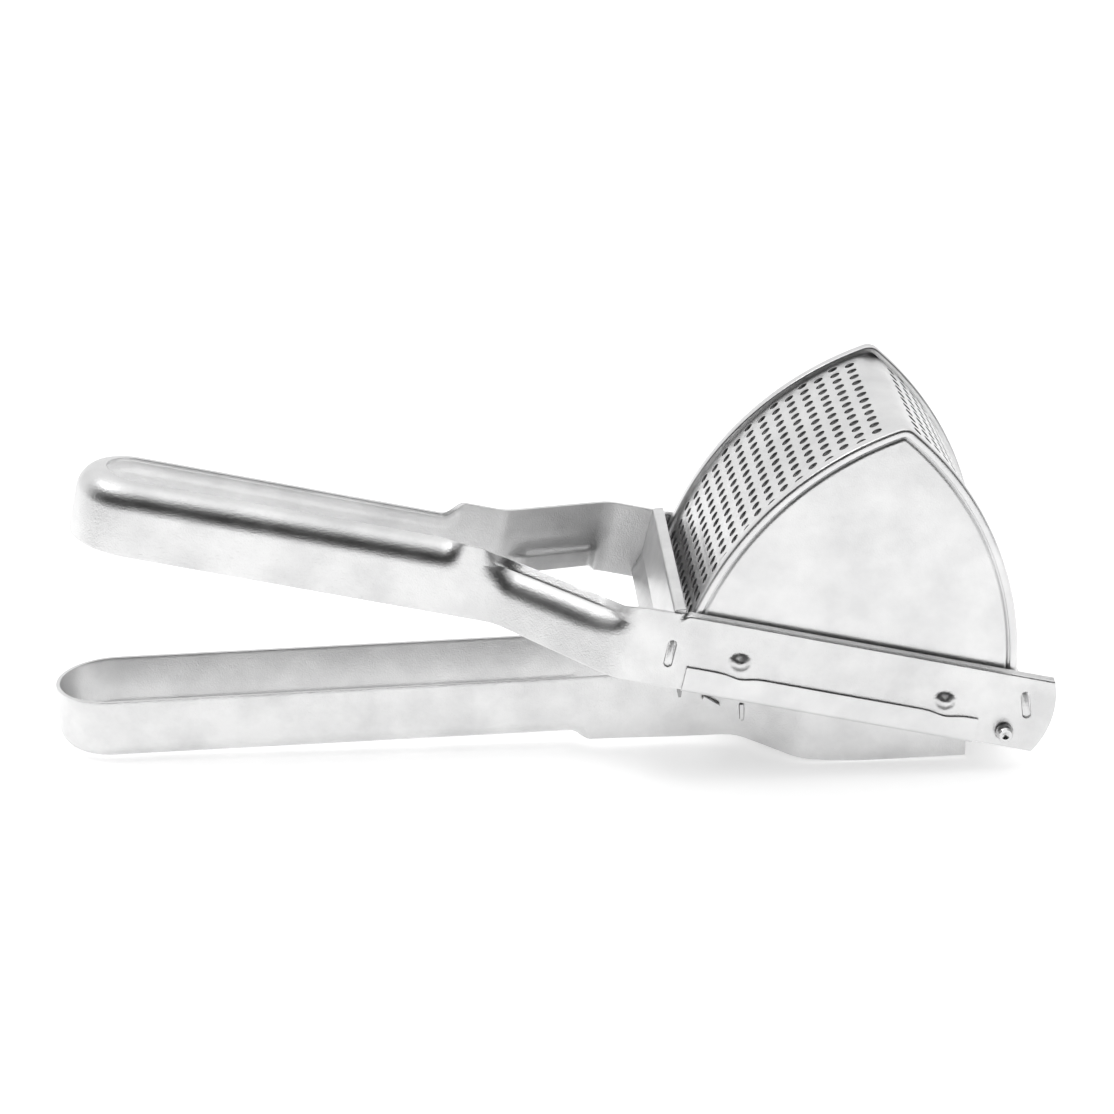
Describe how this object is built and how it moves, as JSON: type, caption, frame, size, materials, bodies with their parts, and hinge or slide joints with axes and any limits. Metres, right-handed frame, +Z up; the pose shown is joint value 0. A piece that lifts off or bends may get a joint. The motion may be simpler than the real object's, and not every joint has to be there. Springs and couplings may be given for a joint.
{
  "type": "potato ricer",
  "caption": "Sheet-metal lever press for cooked potatoes: a pointed perforated basket on a long looped handle, hinged at its end to a second looped handle with a wedge presser.",
  "frame": {"origin": "on the table, under the middle of the shut tool's overall length and width", "axes": "+X along the tool from the handles to the hinge, +Y across the tool along the hinge pin, +Z up from the table"},
  "size_m": [0.3949, 0.1212, 0.1428],
  "materials": {
    "plated_strap": "satin",
    "plated_basket": "satin",
    "plated_presser": "satin",
    "pin_steel": "satin"
  },
  "bodies": {
    "plunger_lever": {"plunger_strap": "plated_strap", "plunger_cross_plate": "plated_strap", "presser_blade": "plated_presser", "presser_cheek_near": "plated_presser", "presser_cheek_far": "plated_presser"},
    "basket_frame": {"frame_strap": "plated_strap", "neck_cross_plate": "plated_strap", "end_cross_plate": "plated_strap", "basket_wall": "plated_basket", "basket_side_near": "plated_basket", "basket_side_far": "plated_basket", "hinge_pin": "pin_steel", "hinge_spacer_near": "pin_steel", "hinge_spacer_far": "pin_steel"}
  },
  "joints": [
    {"name": "lever_hinge", "type": "hinge", "parent": "plunger_lever", "child": "basket_frame", "pos_m": [0.17735, 0, 0.0169], "axis": [0, 1, 0], "range_deg": [0, 110]}
  ]
}
